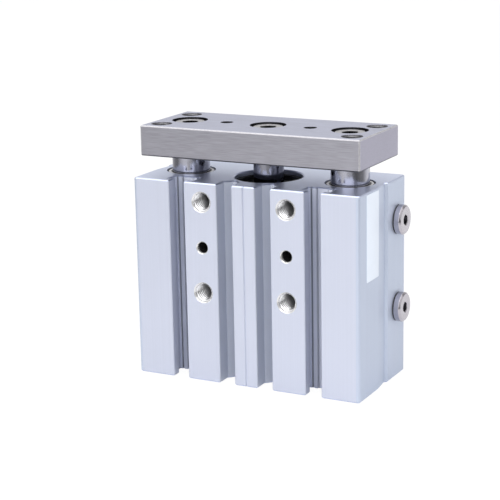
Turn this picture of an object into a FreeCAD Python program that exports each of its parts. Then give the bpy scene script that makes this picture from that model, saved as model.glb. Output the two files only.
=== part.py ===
import FreeCAD, Part
import math
import os

import Sketcher

# Compact guided pneumatic cylinder: an extruded aluminium barrel with one bore and two guide bores, and a
# tooling plate carried by the piston rod and two guide rods.
#
# Frame: millimetres, +Z is the way the rods extend, the origin is the centre of the barrel's rear face,
# -Y is the face with the tapped holes and T-slots, and +X is the side with the plugged air ports.
# The drawing shows the cylinder retracted.

SIZES = {
    # Travel, and the stack of pieces along the bore from the rear face to the front face
    "stroke": 20.0,               # travel of the tooling plate
    "ring_inset": 1.3,            # open bore mouth outside each retaining ring
    "ring_thickness": 1.0,
    "cover_flange": 3.5,          # part of each cover that sits in the wider end of the bore
    "head_cover_spigot": 8.6,     # part of the head cover inside the bore proper
    "rod_cover_spigot": 2.6,      # part of the rod cover inside the bore proper
    "bumper_thickness": 1.0,
    "stop_gap": 0.1,              # left between the piston and a bumper at each end of the travel
    "holder_web": 0.6,            # magnet holder behind the magnet
    "magnet_thickness": 2.0,
    "piston_disc": 5.4,           # piston proper, in front of the magnet

    # Barrel extrusion
    "barrel_width": 64.0,
    "barrel_depth": 30.0,
    "corner_radius": 0.8,
    "end_chamfer": 0.3,
    "side_step": 0.7,             # how far each side face is drawn in
    "side_step_place": 3.3,       # behind the centre plane, where the side steps out again
    "side_step_edge": 0.5,        # depth-wise run of that step
    "side_ramp": 5.8,             # length of the gentle ramp that leads into the step

    # T-slots for mounting nuts in the front face
    "slot_offset": 19.25,
    "slot_mouth": 4.4,
    "slot_lip": 2.5,
    "slot_chamber": 7.4,
    "slot_depth": 6.2,
    "slot_relief_width": 3.0,
    "slot_relief_depth": 0.5,
    "slot_line_inset": 0.7,       # from the chamber's wall to the fine line in its floor
    "slot_line_width": 0.5,
    "slot_line_depth": 0.25,
    "slot_edge_break": 0.2,

    # Grooves for position sensors in the front face
    "groove_offset": 5.45,
    "groove_width": 4.3,
    "groove_depth": 6.2,
    "groove_bevel": 1.8,          # where each wall runs into the floor
    "centre_line_width": 0.5,     # fine sighting line between the two grooves
    "centre_line_depth": 0.25,

    # Bore, covers and retaining rings
    "bore_diameter": 16.0,
    "cover_shoulder": 1.0,        # radial step between the bore and its wider ends
    "mouth_chamfer": 0.3,
    "ring_groove_depth": 0.6,     # radial, outside the wider end
    "ring_groove_play": 0.1,      # groove width beyond the ring's thickness
    "ring_play": 0.15,            # radial play of the ring in its groove
    "ring_width": 1.3,            # radial width of the ring outside its lugs
    "ring_gap_angle": 50.0,       # degrees between the lugs' centres
    "ring_lug_diameter": 2.6,
    "ring_lug_inset": 2.1,        # from the ring's outer edge to a lug's centre
    "ring_lug_hole": 1.2,
    "seat_gap": 0.02,             # radial gap where one fixed piece sits in another
    "running_gap": 0.05,          # radial gap of every sliding fit
    "oring_section": 1.2,
    "oring_groove_width": 1.4,
    "oring_groove_lead": 0.6,     # from the flange to the groove
    "oring_squash_gap": 0.05,     # left on each side of a drawn O-ring
    "rod_seal_width": 1.7,
    "rod_seal_height": 1.6,
    "bumper_wall_gap": 0.6,       # from the bore wall to a bumper
    "bumper_rod_gap": 0.5,        # from the piston rod to the front bumper
    "rod_cover_lead": 0.4,        # chamfer round the piston rod on the rod cover

    # Piston
    "piston_wall_gap": 0.1,
    "piston_relief": 0.5,         # the land beside an air port is this much smaller in radius
    "piston_seal_place": 1.7,     # from the piston's magnet face to its seal groove
    "piston_seal_width": 1.5,
    "piston_seal_radial": 1.7,
    "seal_lip": 0.3,              # height of the rim at each end of the piston seal
    "seal_slope": 0.3,            # height of the slope from a rim down to the waist
    "seal_waist": 0.5,            # radial depth of the waist
    "piston_nose": 1.0,           # smaller front end that meets the bumper
    "piston_nose_step": 0.9,
    "magnet_wall_gap": 1.1,
    "magnet_hub_diameter": 8.0,
    "holder_lip": 0.5,            # wall of the magnet holder outside the magnet
    "holder_lip_height": 1.2,     # how far that wall reaches along the magnet

    # Rods
    "piston_rod_diameter": 8.0,
    "rod_spigot_diameter": 5.0,
    "rod_spigot_short": 0.2,      # the spigot stops short of the magnet holder's outer face
    "rod_chamfer": 0.4,
    "guide_pitch": 46.0,
    "guide_rod_diameter": 10.0,
    "guide_rod_inset": 2.0,       # the guide rods end inside the rear face
    "guide_rod_lead": 0.8,
    "guide_bore_diameter": 13.0,
    "bush_front_length": 14.0,
    "bush_rear_length": 12.0,
    "bush_inset": 0.2,
    "bush_chamfer": 0.35,

    # Tooling plate and its bolts
    "plate_width": 62.0,
    "plate_depth": 25.0,
    "plate_thickness": 8.0,
    "plate_gap": 5.4,             # between the barrel and the plate when retracted
    "plate_edge_break": 0.3,
    "plate_thread_side_margin": 4.0,   # from a side edge to a tapped hole's centre
    "plate_thread_front_margin": 4.5,  # from the front or back edge to the same centre
    "plate_dowel_depth": 5.0,
    "bolt_counterbore": 9.5,
    "bolt_counterbore_depth": 5.4,
    "bolt_clearance_hole": 5.5,
    "bolt_head_diameter": 8.5,
    "bolt_head_height": 5.0,
    "bolt_head_chamfer": 0.4,
    "bolt_length": 14.0,
    "bolt_socket": 4.0,
    "bolt_socket_depth": 2.5,
    "rod_thread_depth": 13.0,

    # Mounting holes of the barrel
    "hole_pitch": 24.0,
    "hole_row_inset": 5.0,        # first row of holes below the front end
    "hole_row_pitch": 24.0,
    "dowel_row_inset": 17.0,
    "thread_diameter": 5.0,       # M5 everywhere
    "thread_play": 0.05,          # radial, between a drawn screw and its drawn thread
    "thread_countersink": 5.6,
    "mount_thread_depth": 12.0,
    "mount_through_hole": 4.3,
    "mount_counterbore": 8.0,
    "mount_counterbore_depth": 4.5,
    "dowel_diameter": 3.0,
    "dowel_depth": 6.0,
    "dowel_countersink": 3.5,

    # Air ports and their plugs
    "port_inset": 5.0,            # ahead of the back face
    "rear_port_lead": 3.4,        # ahead of the retracted piston's rear end
    "front_port_lead": 1.3,       # behind the extended piston's front end
    "side_port_depth": 6.5,
    "back_port_depth": 3.8,
    "air_passage": 1.6,
    "plug_head_diameter": 7.8,
    "plug_head_height": 1.85,
    "plug_head_chamfer": 0.45,
    "plug_shank": 4.5,
    "plug_socket": 2.5,
    "plug_socket_depth": 1.4,
    "gasket_thickness": 0.35,
    "gasket_inset": 0.1,          # radial, inside the plug's head

    # Small screw that holds the piston on its rod
    "piston_screw_diameter": 3.0,
    "piston_screw_length": 8.0,
    "piston_screw_head_diameter": 5.5,
    "piston_screw_head_height": 3.0,
    "piston_screw_socket": 2.5,
    "piston_screw_socket_depth": 1.4,
    "piston_screw_room": 0.6,     # free space round the screw's head in the head cover
}


class Dim:
    """A length that knows its value and the sheet formula that gives it, so plain arithmetic binds it."""

    def __init__(self, value, formula):
        self.value = float(value)
        self.formula = formula

    def __add__(self, other):
        return Dim(self.value + value_of(other), f"({self.formula} + {formula_of(other)})")

    __radd__ = __add__

    def __sub__(self, other):
        return Dim(self.value - value_of(other), f"({self.formula} - {formula_of(other)})")

    def __rsub__(self, other):
        return Dim(value_of(other) - self.value, f"({formula_of(other)} - {self.formula})")

    def __mul__(self, factor):
        return Dim(self.value * value_of(factor), f"({self.formula} * {formula_of(factor)})")

    __rmul__ = __mul__

    def __truediv__(self, divisor):
        return Dim(self.value / value_of(divisor), f"({self.formula} / {formula_of(divisor)})")

    def __neg__(self):
        return Dim(-self.value, f"(0 - {self.formula})")


def value_of(term):
    return term.value if isinstance(term, Dim) else float(term)


def formula_of(term):
    return term.formula if isinstance(term, Dim) else f"({float(term):.12g})"


class Sheet:
    """The driving dimensions, each one a named cell of the document's spreadsheet."""

    def __init__(self, document, sizes):
        cells = document.addObject("Spreadsheet::Sheet", "Sizes")
        for row, (name, size) in enumerate(sizes.items(), start=1):
            cells.set(f"A{row}", name.replace("_", " "))
            cells.set(f"B{row}", str(size))
            cells.setAlias(f"B{row}", name)
            setattr(self, name, Dim(size, f"Sizes.{name}"))


doc = FreeCAD.newDocument("GuidedCylinder")
S = Sheet(doc, SIZES)
doc.recompute()


# Lengths worked out from the driving dimensions

half_width = S.barrel_width / 2
front_y = -(S.barrel_depth / 2)
back_y = S.barrel_depth / 2
bore_radius = S.bore_diameter / 2
cover_radius = bore_radius + S.cover_shoulder
ring_groove_radius = cover_radius + S.ring_groove_depth
thread_radius = S.thread_diameter / 2
guide_x = S.guide_pitch / 2
hole_x = S.hole_pitch / 2
port_y = back_y - S.port_inset
plate_thread_x = S.plate_width / 2 - S.plate_thread_side_margin
plate_thread_y = S.plate_depth / 2 - S.plate_thread_front_margin

piston_length = S.holder_web + S.magnet_thickness + S.piston_disc
head_cover_rear = S.ring_inset + S.ring_thickness
head_cover_front = head_cover_rear + S.cover_flange + S.head_cover_spigot
piston_rear = head_cover_front + S.bumper_thickness + S.stop_gap
piston_front = piston_rear + piston_length
rod_cover_rear = piston_front + S.stroke + S.stop_gap + S.bumper_thickness
rod_cover_front = rod_cover_rear + S.rod_cover_spigot + S.cover_flange
barrel_height = rod_cover_front + S.ring_thickness + S.ring_inset
plate_bottom = barrel_height + S.plate_gap
plate_top = plate_bottom + S.plate_thickness

upper_row = barrel_height - S.hole_row_inset
lower_row = upper_row - S.hole_row_pitch
dowel_row = barrel_height - S.dowel_row_inset
rear_port = piston_rear + S.rear_port_lead
front_port = piston_front + S.stroke - S.front_port_lead
bolt_seat = plate_top - S.bolt_counterbore_depth


# Tools for drawing bound features

def tie(target, prop, length):
    """Set a property of a feature to a length, and keep it bound to the sheet."""
    if isinstance(length, Dim):
        target.setExpression(prop, length.formula)
    else:
        setattr(target, prop, length)


def make_body(label, x=0, y=0, z=0, turn=None):
    """An empty body at a bound place, turned if asked."""
    body = doc.addObject("PartDesign::Body", label)
    body.Label = label
    body.Placement = FreeCAD.Placement(FreeCAD.Vector(value_of(x), value_of(y), value_of(z)),
                                       turn or FreeCAD.Rotation())
    for axis, length in (("x", x), ("y", y), ("z", z)):
        if isinstance(length, Dim):
            body.setExpression(f"Placement.Base.{axis}", length.formula)
    return body


def make_sketch(body, name, plane="XY_Plane", offset=0):
    """A sketch on one of the body's origin planes, moved along the plane's normal by a bound offset."""
    sketch = body.newObject("Sketcher::SketchObject", f"{body.Name}_{name}")
    support = next(item for item in body.Origin.OriginFeatures if item.Role == plane)
    sketch.AttachmentSupport = [(support, "")]
    sketch.MapMode = "FlatFace"
    if isinstance(offset, Dim):
        sketch.setExpression("AttachmentOffset.Base.z", offset.formula)
    return sketch


def tie_point(sketch, element, point, place):
    """Hold one point of a sketch element at a bound place, or on an axis where a coordinate is zero."""
    for kind, axis, length in (("DistanceX", -2, place[0]), ("DistanceY", -1, place[1])):
        if value_of(length) == 0 and not isinstance(length, Dim):
            sketch.addConstraint(Sketcher.Constraint("PointOnObject", element, point, axis))
            continue
        index = sketch.addConstraint(
            Sketcher.Constraint(kind, -1, 1, element, point, value_of(length)))
        if isinstance(length, Dim):
            sketch.setExpression(f"Constraints[{index}]", length.formula)


def draw_polygon(sketch, corners):
    """A closed outline of straight edges with every corner tied to the sheet."""
    vectors = [FreeCAD.Vector(value_of(x), value_of(y), 0) for x, y in corners]
    count = len(corners)
    first = sketch.GeometryCount
    for index in range(count):
        sketch.addGeometry(Part.LineSegment(vectors[index], vectors[(index + 1) % count]), False)
    for index in range(count):
        following = first + (index + 1) % count
        sketch.addConstraint(Sketcher.Constraint("Coincident", first + index, 2, following, 1))
    for index, corner in enumerate(corners):
        tie_point(sketch, first + index, 1, corner)


def draw_circle(sketch, centre, diameter):
    """A circle with its centre and diameter tied to the sheet."""
    middle = FreeCAD.Vector(value_of(centre[0]), value_of(centre[1]), 0)
    circle = sketch.addGeometry(
        Part.Circle(middle, FreeCAD.Vector(0, 0, 1), value_of(diameter) / 2), False)
    tie_point(sketch, circle, 3, centre)
    index = sketch.addConstraint(Sketcher.Constraint("Diameter", circle, value_of(diameter)))
    if isinstance(diameter, Dim):
        sketch.setExpression(f"Constraints[{index}]", diameter.formula)


def hexagon(across_flats, centre=(0, 0)):
    """The corners of a hexagon with two flats parallel to the first axis."""
    reach = across_flats / math.sqrt(3)
    corners = []
    for step in range(6):
        turn = math.radians(60 * step)
        corners.append((centre[0] + reach * math.cos(turn), centre[1] + reach * math.sin(turn)))
    return corners


def pad(body, sketch, length):
    """Raise a sketch along its normal."""
    feature = body.newObject("PartDesign::Pad", f"{sketch.Name}_pad")
    feature.Profile = sketch
    tie(feature, "Length", length)
    sketch.Visibility = False
    return feature


def pocket(body, sketch, depth=None, backwards=False):
    """Sink a sketch against its normal, or along it if backwards, right through if no depth is given."""
    before = body.Shape.Volume
    feature = body.newObject("PartDesign::Pocket", f"{sketch.Name}_cut")
    feature.Profile = sketch
    feature.Reversed = backwards
    if depth is None:
        feature.Type = "ThroughAll"
    else:
        tie(feature, "Length", depth)
    doc.recompute()
    if not body.Shape.Volume < before:
        raise RuntimeError(f"{feature.Name} removes nothing")
    return feature


def drill(body, sketch, diameter, depth=None, mouth=None, counterbore=None, backwards=False):
    """Drill a hole at every circle of a sketch, with a countersunk mouth or a counterbore if given."""
    doc.recompute()
    before = body.Shape.Volume
    feature = body.newObject("PartDesign::Hole", f"{sketch.Name}_hole")
    feature.Profile = sketch
    doc.recompute()
    feature.Reversed = backwards
    tie(feature, "Diameter", diameter)
    if depth is None:
        feature.DepthType = "ThroughAll"
    else:
        feature.DepthType = "Dimension"
        feature.DrillPoint = "Flat"
        tie(feature, "Depth", depth)
    if mouth is not None:
        feature.HoleCutType = "Countersink"
        tie(feature, "HoleCutDiameter", mouth)
        feature.HoleCutCountersinkAngle = 90
    if counterbore is not None:
        feature.HoleCutType = "Counterbore"
        tie(feature, "HoleCutDiameter", counterbore[0])
        tie(feature, "HoleCutDepth", counterbore[1])
    doc.recompute()
    if not body.Shape.Volume < before:
        raise RuntimeError(f"{feature.Name} removes nothing")
    return feature


def edges_of(shape, wanted):
    """Names of the edges of a shape whose middle satisfies a test."""
    names = []
    for number, edge in enumerate(shape.Edges, start=1):
        middle = edge.valueAt((edge.FirstParameter + edge.LastParameter) / 2)
        if wanted(edge, middle):
            names.append(f"Edge{number}")
    return names


def dress(body, kind, base, edges, size):
    """A fillet or chamfer of one bound size on named edges of the feature before it."""
    feature = body.newObject(f"PartDesign::{kind}", f"{body.Name}_{kind.lower()}_{len(body.Group)}")
    feature.Base = (base, edges)
    tie(feature, "Radius" if kind == "Fillet" else "Size", size)
    doc.recompute()
    return feature


def turned(label, outline, x=0, y=0, z=0, turn=None):
    """A lathe-turned piece: an outline of radius and height, revolved about its own vertical axis."""
    body = make_body(label, x, y, z, turn)
    sketch = make_sketch(body, "outline", "XZ_Plane")
    draw_polygon(sketch, outline)
    feature = body.newObject("PartDesign::Revolution", f"{body.Name}_turning")
    feature.Profile = sketch
    feature.ReferenceAxis = (sketch, ["V_Axis"])
    feature.Angle = 360
    doc.recompute()
    return body


# Barrel

def barrel_outline():
    """The extrusion's outline: two flat faces, and sides that ramp in and step out behind the middle."""
    inset = half_width - S.side_step
    step_front = S.side_step_place - S.side_step_edge
    right = [(half_width, front_y), (half_width, step_front - S.side_ramp), (inset, step_front),
             (half_width, S.side_step_place), (half_width, back_y)]
    left = [(-x, y) for x, y in reversed(right)]
    return right + left


def mirrored(middle, half):
    """A closed outline from its right half, mirrored about a vertical line."""
    return ([(middle + x, y) for x, y in half]
            + [(middle - x, y) for x, y in reversed(half)])


def slot_outline(side):
    """One T-slot: broken mouth edges, lips, and a chamber with a fine line each side of a relief."""
    mouth = S.slot_mouth / 2
    chamber = S.slot_chamber / 2
    relief = S.slot_relief_width / 2
    line = chamber - S.slot_line_inset
    line_half = S.slot_line_width / 2
    lip_y = front_y + S.slot_lip
    floor_y = front_y + S.slot_depth
    return mirrored(side * S.slot_offset, [
        (mouth + S.slot_edge_break, front_y), (mouth, front_y + S.slot_edge_break), (mouth, lip_y),
        (chamber, lip_y), (chamber, floor_y), (line + line_half, floor_y),
        (line, floor_y + S.slot_line_depth), (line - line_half, floor_y), (relief, floor_y),
        (relief, floor_y + S.slot_relief_depth)])


def groove_outline(side):
    """One sensor groove: broken mouth edges, straight walls, and a floor bevelled at both sides."""
    wall = S.groove_width / 2
    floor_y = front_y + S.groove_depth
    return mirrored(side * S.groove_offset, [
        (wall + S.slot_edge_break, front_y), (wall, front_y + S.slot_edge_break),
        (wall, floor_y - S.groove_bevel), (wall - S.groove_bevel, floor_y)])


def bore_outline():
    """The bore with its wider ends, retaining-ring grooves and chamfered mouths, as radius and height."""
    ring_rear = S.ring_inset - S.ring_groove_play
    ring_front = rod_cover_front + S.ring_thickness + S.ring_groove_play
    rear_shoulder = head_cover_rear + S.cover_flange
    front_shoulder = rod_cover_rear + S.rod_cover_spigot
    mouth = cover_radius + S.mouth_chamfer
    return [(0, 0), (mouth, 0), (cover_radius, S.mouth_chamfer),
            (cover_radius, ring_rear), (ring_groove_radius, ring_rear),
            (ring_groove_radius, head_cover_rear), (cover_radius, head_cover_rear),
            (cover_radius, rear_shoulder), (bore_radius, rear_shoulder),
            (bore_radius, front_shoulder), (cover_radius, front_shoulder),
            (cover_radius, rod_cover_front), (ring_groove_radius, rod_cover_front),
            (ring_groove_radius, ring_front), (cover_radius, ring_front),
            (cover_radius, barrel_height - S.mouth_chamfer), (mouth, barrel_height),
            (0, barrel_height)]


def make_barrel():
    """The extruded aluminium barrel with every slot, bore, port and mounting hole."""
    body = make_body("cylinder_body")
    outline = make_sketch(body, "outline")
    draw_polygon(outline, barrel_outline())
    block = pad(body, outline, barrel_height)
    doc.recompute()

    half_x, half_y = half_width.value, back_y.value
    corners = edges_of(block.Shape, lambda edge, at: abs(abs(at.x) - half_x) < 1e-6
                       and abs(abs(at.y) - half_y) < 1e-6)
    dress(body, "Fillet", block, corners, S.corner_radius)

    slots = make_sketch(body, "slots")
    grooves = make_sketch(body, "grooves")
    for side in (-1, 1):
        draw_polygon(slots, slot_outline(side))
        draw_polygon(grooves, groove_outline(side))
    line = make_sketch(body, "centre_line")
    draw_polygon(line, [(-(S.centre_line_width / 2), front_y), (S.centre_line_width / 2, front_y),
                        (0, front_y + S.centre_line_depth)])
    for sketch in (slots, grooves, line):
        pocket(body, sketch, backwards=True)

    ends = {0.0, barrel_height.value}
    outside = edges_of(body.Shape, lambda edge, at: any(abs(at.z - end) < 1e-6 for end in ends))
    dress(body, "Chamfer", body.Tip, outside, S.end_chamfer)

    bore = make_sketch(body, "bore", "XZ_Plane")
    draw_polygon(bore, bore_outline())
    before = body.Shape.Volume
    groove = body.newObject("PartDesign::Groove", "cylinder_body_bore_cut")
    groove.Profile = bore
    groove.ReferenceAxis = (bore, ["V_Axis"])
    groove.Angle = 360
    doc.recompute()
    if not body.Shape.Volume < before:
        raise RuntimeError("the bore removes nothing")

    guides = make_sketch(body, "guide_bores", offset=barrel_height)
    for side in (-1, 1):
        draw_circle(guides, (side * guide_x, 0), S.guide_bore_diameter)
    pocket(body, guides)

    threads = make_sketch(body, "mount_threads", "XZ_Plane", S.barrel_depth / 2)
    through = make_sketch(body, "mount_through", "XZ_Plane", -(S.barrel_depth / 2))
    dowels = make_sketch(body, "dowels", "XZ_Plane", S.barrel_depth / 2)
    for side in (-1, 1):
        draw_circle(dowels, (side * hole_x, dowel_row), S.dowel_diameter)
        for row in (upper_row, lower_row):
            draw_circle(threads, (side * hole_x, row), S.thread_diameter)
            draw_circle(through, (side * hole_x, row), S.mount_through_hole)
    drill(body, threads, S.thread_diameter, S.mount_thread_depth, mouth=S.thread_countersink)
    drill(body, through, S.mount_through_hole, counterbore=(S.mount_counterbore, S.mount_counterbore_depth),
          backwards=True)
    drill(body, dowels, S.dowel_diameter, S.dowel_depth, mouth=S.dowel_countersink)

    side_ports = make_sketch(body, "side_ports", "YZ_Plane", half_width)
    passages = make_sketch(body, "passages", "YZ_Plane", half_width)
    back_ports = make_sketch(body, "back_ports", "XZ_Plane", -(S.barrel_depth / 2))
    orifices = make_sketch(body, "orifices", "XZ_Plane", -(S.barrel_depth / 2))
    for height in (rear_port, front_port):
        draw_circle(side_ports, (port_y, height), S.thread_diameter)
        draw_circle(passages, (port_y, height), S.air_passage)
        draw_circle(back_ports, (0, height), S.thread_diameter)
        draw_circle(orifices, (0, height), S.air_passage)
    drill(body, side_ports, S.thread_diameter, S.side_port_depth, mouth=S.thread_countersink)
    pocket(body, passages, half_width)
    drill(body, back_ports, S.thread_diameter, S.back_port_depth, mouth=S.thread_countersink, backwards=True)
    pocket(body, orifices, S.barrel_depth / 2, backwards=True)
    return body


# Pieces inside the bore

def make_cover(label, z, spigot, rod_hole, inner_pocket, forwards):
    """A stepped cover with an O-ring groove on its spigot, as radius and height from its inner face.

    The spigot lies at the low end and the flange above it, and a head cover is the same turned over.
    """
    length = spigot + S.cover_flange
    groove_low = spigot - S.oring_groove_lead - S.oring_groove_width
    groove_high = spigot - S.oring_groove_lead
    spigot_radius = bore_radius - S.seat_gap
    flange_radius = cover_radius - S.seat_gap
    groove_radius = bore_radius - S.oring_section - S.oring_squash_gap * 2
    pocket_radius, pocket_depth = inner_pocket
    outline = [(pocket_radius, 0), (spigot_radius, 0), (spigot_radius, groove_low),
               (groove_radius, groove_low), (groove_radius, groove_high), (spigot_radius, groove_high),
               (spigot_radius, spigot), (flange_radius, spigot), (flange_radius, length)]
    if rod_hole is None:
        outline += [(0, length), (0, pocket_depth), (pocket_radius, pocket_depth)]
    else:
        outline += [(rod_hole + S.rod_cover_lead, length), (rod_hole, length - S.rod_cover_lead),
                    (rod_hole, pocket_depth), (pocket_radius, pocket_depth)]
    turn = None if forwards else FreeCAD.Rotation(FreeCAD.Vector(1, 0, 0), 180)
    return turned(label, outline, z=z, turn=turn)


def make_oring(label, spigot, inner_face, forwards):
    """An O-ring in the groove of a cover, drawn round in section."""
    middle = spigot - S.oring_groove_lead - S.oring_groove_width / 2
    height = inner_face + middle if forwards else inner_face - middle
    body = make_body(label, z=height)
    sketch = make_sketch(body, "section", "XZ_Plane")
    draw_circle(sketch, (bore_radius - S.oring_squash_gap - S.oring_section / 2, 0), S.oring_section)
    feature = body.newObject("PartDesign::Revolution", f"{body.Name}_turning")
    feature.Profile = sketch
    feature.ReferenceAxis = (sketch, ["V_Axis"])
    feature.Angle = 360
    doc.recompute()
    return body


def make_retaining_ring(label, z):
    """An internal retaining ring: an open ring with two drilled lugs beside its gap."""
    body = make_body(label, z=z)
    outer = ring_groove_radius - S.ring_play
    inner = outer - S.ring_width
    band = make_sketch(body, "band")
    draw_circle(band, (0, 0), outer * 2)
    draw_circle(band, (0, 0), inner * 2)
    pad(body, band, S.ring_thickness)
    doc.recompute()

    lug_reach = outer - S.ring_lug_inset
    half_gap = math.radians(S.ring_gap_angle.value / 2)
    gap = make_sketch(body, "gap", offset=S.ring_thickness)
    reach = outer + S.ring_width
    draw_polygon(gap, [(0, 0), (reach * math.cos(half_gap), reach * -math.sin(half_gap)),
                       (reach * math.cos(half_gap), reach * math.sin(half_gap))])
    pocket(body, gap)
    lugs = make_sketch(body, "lugs")
    holes = make_sketch(body, "lug_holes", offset=S.ring_thickness)
    for side in (-1, 1):
        centre = (lug_reach * math.cos(half_gap), lug_reach * (side * math.sin(half_gap)))
        draw_circle(lugs, centre, S.ring_lug_diameter)
        draw_circle(holes, centre, S.ring_lug_hole)
    pad(body, lugs, S.ring_thickness)
    doc.recompute()
    pocket(body, holes)
    return body


def washer_outline(inner, outer, height, low=0):
    """A plain ring as radius and height."""
    return [(inner, low), (outer, low), (outer, low + height), (inner, low + height)]


def make_barrel_pieces():
    """Covers, rings, seals, bumpers and bushes that stay in the barrel."""
    rod_radius = S.piston_rod_diameter / 2
    seal_radius = rod_radius + S.rod_seal_width
    rod_pocket = (seal_radius + S.seat_gap, S.rod_seal_height + S.oring_squash_gap)
    make_cover("rod_cover", rod_cover_rear, S.rod_cover_spigot, rod_radius + S.running_gap, rod_pocket, True)
    turned("rod_seal", washer_outline(rod_radius + S.running_gap, seal_radius, S.rod_seal_height),
           z=rod_cover_rear)
    screw_room_depth = (S.piston_screw_head_height + S.piston_screw_room
                        - S.bumper_thickness - S.stop_gap)
    screw_room_radius = S.piston_screw_head_diameter / 2 + S.piston_screw_room
    make_cover("head_cover", head_cover_front, S.head_cover_spigot, None,
               (screw_room_radius, screw_room_depth), False)
    make_oring("rod_cover_gasket", S.rod_cover_spigot, rod_cover_rear, True)
    make_oring("head_cover_gasket", S.head_cover_spigot, head_cover_front, False)
    make_retaining_ring("rod_cover_ring", rod_cover_front)
    make_retaining_ring("head_cover_ring", S.ring_inset)

    bumper_outer = bore_radius - S.bumper_wall_gap
    turned("front_bumper", washer_outline(rod_radius + S.bumper_rod_gap, bumper_outer, S.bumper_thickness),
           z=rod_cover_rear - S.bumper_thickness)
    turned("rear_bumper", washer_outline(screw_room_radius, bumper_outer, S.bumper_thickness),
           z=head_cover_front)

    inner = S.guide_rod_diameter / 2 + S.running_gap
    outer = S.guide_bore_diameter / 2 - S.seat_gap
    bevel = S.bush_chamfer
    bushes = (("front", S.bush_front_length, barrel_height - S.bush_inset - S.bush_front_length),
              ("rear", S.bush_rear_length, S.guide_rod_inset + S.stroke))
    for place, length, low in bushes:
        for name, side in (("left", -1), ("right", 1)):
            turned(f"guide_bush_{place}_{name}",
                   [(inner + bevel, 0), (outer - bevel, 0), (outer, bevel), (outer, length - bevel),
                    (outer - bevel, length), (inner + bevel, length), (inner, length - bevel),
                    (inner, bevel)],
                   x=side * guide_x, z=low)


# Air port plugs

def make_plugs():
    """Two hexagon-socket plugs with their gaskets in the side ports."""
    sideways = FreeCAD.Rotation(FreeCAD.Vector(0, 1, 0), 90)
    head = S.plug_head_diameter / 2
    shank = thread_radius - S.thread_play
    bevel = S.plug_head_chamfer
    for name, height in (("lower", rear_port), ("upper", front_port)):
        plug = turned(f"port_plug_{name}",
                      [(0, -(S.plug_shank)), (shank - bevel, -(S.plug_shank)), (shank, bevel - S.plug_shank),
                       (shank, 0), (head, 0), (head, S.plug_head_height - bevel),
                       (head - bevel, S.plug_head_height), (0, S.plug_head_height)],
                      x=half_width + S.gasket_thickness, y=port_y, z=height, turn=sideways)
        socket = make_sketch(plug, "socket", offset=S.plug_head_height)
        draw_polygon(socket, hexagon(S.plug_socket))
        pocket(plug, socket, S.plug_socket_depth)
        turned(f"port_gasket_{name}",
               washer_outline(thread_radius + S.thread_play, head - S.gasket_inset, S.gasket_thickness),
               x=half_width, y=port_y, z=height, turn=sideways)


# Moving pieces

def make_plate():
    """The tooling plate with counterbored bolt holes, four tapped holes and two dowel holes."""
    body = make_body("tooling_plate", z=plate_bottom)
    half_x = S.plate_width / 2
    half_y = S.plate_depth / 2
    outline = make_sketch(body, "outline")
    draw_polygon(outline, [(-half_x, -half_y), (half_x, -half_y), (half_x, half_y), (-half_x, half_y)])
    block = pad(body, outline, S.plate_thickness)
    doc.recompute()
    dress(body, "Chamfer", block, edges_of(block.Shape, lambda edge, at: True), S.plate_edge_break)

    bolts = make_sketch(body, "bolt_holes", offset=S.plate_thickness)
    for place in (-guide_x, 0, guide_x):
        draw_circle(bolts, (place, 0), S.bolt_clearance_hole)
    drill(body, bolts, S.bolt_clearance_hole, counterbore=(S.bolt_counterbore, S.bolt_counterbore_depth))
    threads = make_sketch(body, "threads", offset=S.plate_thickness)
    dowels = make_sketch(body, "dowels", offset=S.plate_thickness)
    for side in (-1, 1):
        draw_circle(dowels, (side * hole_x, 0), S.dowel_diameter)
        for depth_side in (-1, 1):
            draw_circle(threads, (side * plate_thread_x, depth_side * plate_thread_y), S.thread_diameter)
    drill(body, threads, S.thread_diameter, mouth=S.thread_countersink)
    drill(body, dowels, S.dowel_diameter, S.plate_dowel_depth, mouth=S.dowel_countersink)
    return body


def make_plate_bolts():
    """Three socket-head bolts that hold the rods to the plate, as one group of separate solids."""
    body = turned("plate_bolts",
                  [(0, -(S.bolt_length)), (thread_radius - S.thread_play, -(S.bolt_length)),
                   (thread_radius - S.thread_play, 0), (S.bolt_head_diameter / 2, 0),
                   (S.bolt_head_diameter / 2, S.bolt_head_height - S.bolt_head_chamfer),
                   (S.bolt_head_diameter / 2 - S.bolt_head_chamfer, S.bolt_head_height),
                   (0, S.bolt_head_height)],
                  x=-guide_x, z=bolt_seat)
    socket = make_sketch(body, "socket", offset=S.bolt_head_height)
    draw_polygon(socket, hexagon(S.bolt_socket))
    cut = pocket(body, socket, S.bolt_socket_depth)
    row = body.newObject("PartDesign::LinearPattern", "plate_bolts_row")
    row.Originals = [body.Group[1], cut]
    row.Direction = (socket, ["H_Axis"])
    tie(row, "Length", S.guide_pitch)
    row.Occurrences = 3
    body.Tip = row
    doc.recompute()
    return body


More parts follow.
